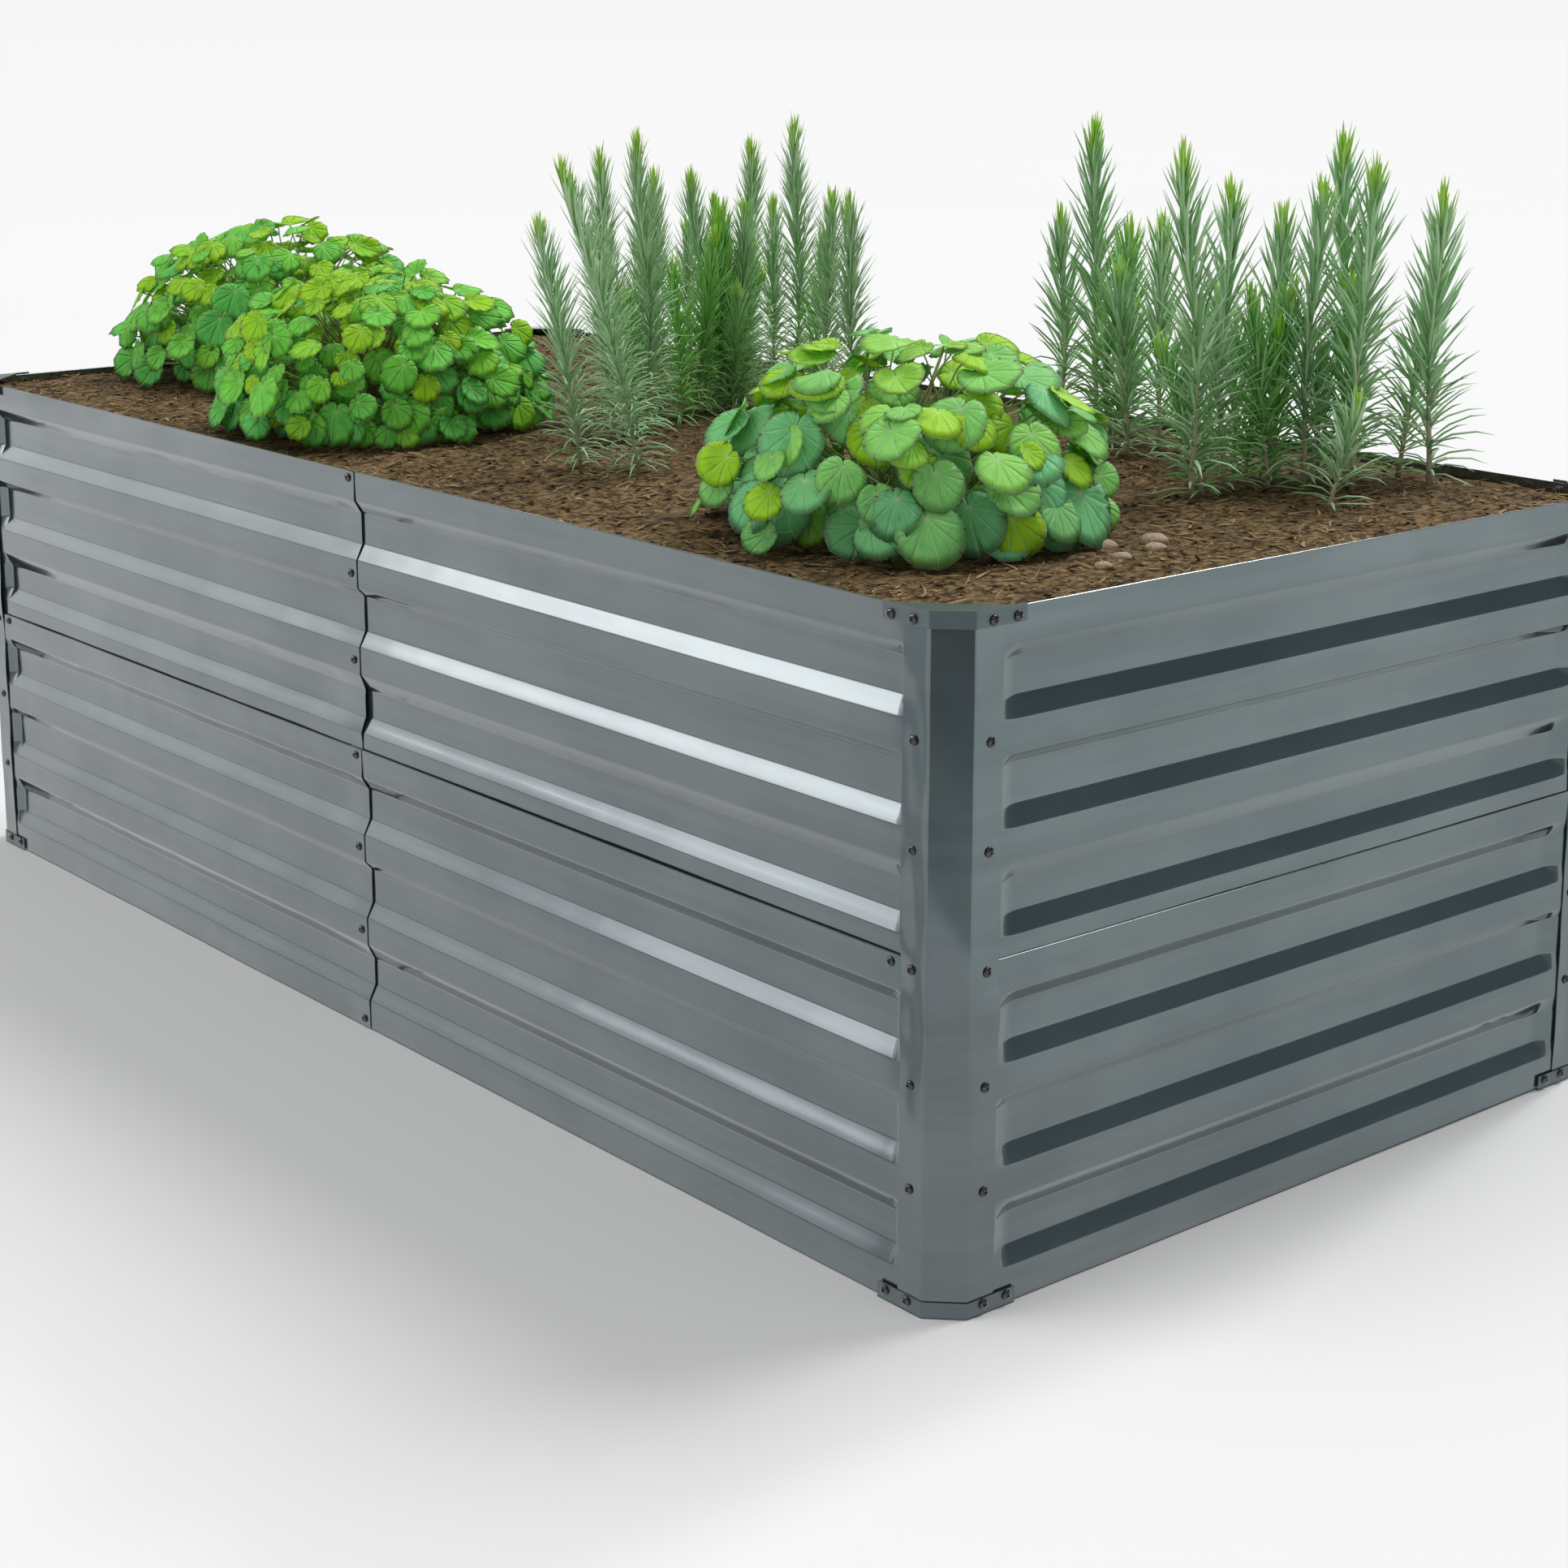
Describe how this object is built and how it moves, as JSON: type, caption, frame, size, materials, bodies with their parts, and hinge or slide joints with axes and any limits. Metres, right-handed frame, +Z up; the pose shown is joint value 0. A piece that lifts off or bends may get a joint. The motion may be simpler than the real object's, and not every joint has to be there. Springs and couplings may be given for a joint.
{
  "type": "raised garden bed",
  "caption": "Tall rectangular raised garden bed of bolted corrugated metal panels with chamfered corner posts and brackets, filled with soil and planted with leafy and needle-leaved herbs.",
  "frame": {"origin": "middle of the footprint on the ground, where the foot brackets and the soil rest", "axes": "+X along the long walls to the right as seen from the front, +Y from the front wall to the back wall, +Z up. The corner nearest the camera in the picture is at +X -Y."},
  "size_m": [1.8402, 0.9112, 0.9548],
  "materials": {
    "coated_sheet": "gloss",
    "coated_bracket": "gloss",
    "screw_steel": "polished",
    "nut_steel": "satin",
    "brace_steel": "satin",
    "growing_mix": "matte",
    "leafy_foliage": "matte",
    "needle_foliage": "matte"
  },
  "bodies": {
    "root": {"brace_lower": "brace_steel", "brace_upper": "brace_steel", "bracket_nuts_back_left": "nut_steel", "bracket_nuts_back_right": "nut_steel", "bracket_nuts_front_left": "nut_steel", "bracket_nuts_front_right": "nut_steel", "bracket_screws_back_left": "screw_steel", "bracket_screws_back_right": "screw_steel", "bracket_screws_front_left": "screw_steel", "bracket_screws_front_right": "screw_steel", "foot_bracket_back_left": "coated_bracket", "foot_bracket_back_right": "coated_bracket", "foot_bracket_front_left": "coated_bracket", "foot_bracket_front_right": "coated_bracket", "leafy_clump_left": "leafy_foliage", "leafy_clump_middle": "leafy_foliage", "leafy_clump_right": "leafy_foliage", "panel_back_lower_left": "coated_sheet", "panel_back_lower_right": "coated_sheet", "panel_back_upper_left": "coated_sheet", "panel_back_upper_right": "coated_sheet", "panel_front_lower_left": "coated_sheet", "panel_front_lower_right": "coated_sheet", "panel_front_upper_left": "coated_sheet", "panel_front_upper_right": "coated_sheet", "panel_left_end_lower": "coated_sheet", "panel_left_end_upper": "coated_sheet", "panel_right_end_lower": "coated_sheet", "panel_right_end_upper": "coated_sheet", "post_back_left": "coated_sheet", "post_back_right": "coated_sheet", "post_front_left": "coated_sheet", "post_front_right": "coated_sheet", "post_nuts_back_left": "nut_steel", "post_nuts_back_right": "nut_steel", "post_nuts_front_left": "nut_steel", "post_nuts_front_right": "nut_steel", "post_screws_back_left": "screw_steel", "post_screws_back_right": "screw_steel", "post_screws_front_left": "screw_steel", "post_screws_front_right": "screw_steel", "rosemary_middle": "needle_foliage", "rosemary_right": "needle_foliage", "seam_nuts_back": "nut_steel", "seam_nuts_front": "nut_steel", "seam_screws_back": "screw_steel", "seam_screws_front": "screw_steel", "soil": "growing_mix", "tie_nuts_back": "nut_steel", "tie_nuts_front": "nut_steel", "tie_screws_back": "screw_steel", "tie_screws_front": "screw_steel", "top_bracket_back_left": "coated_bracket", "top_bracket_back_right": "coated_bracket", "top_bracket_front_left": "coated_bracket", "top_bracket_front_right": "coated_bracket"}
  },
  "joints": []
}
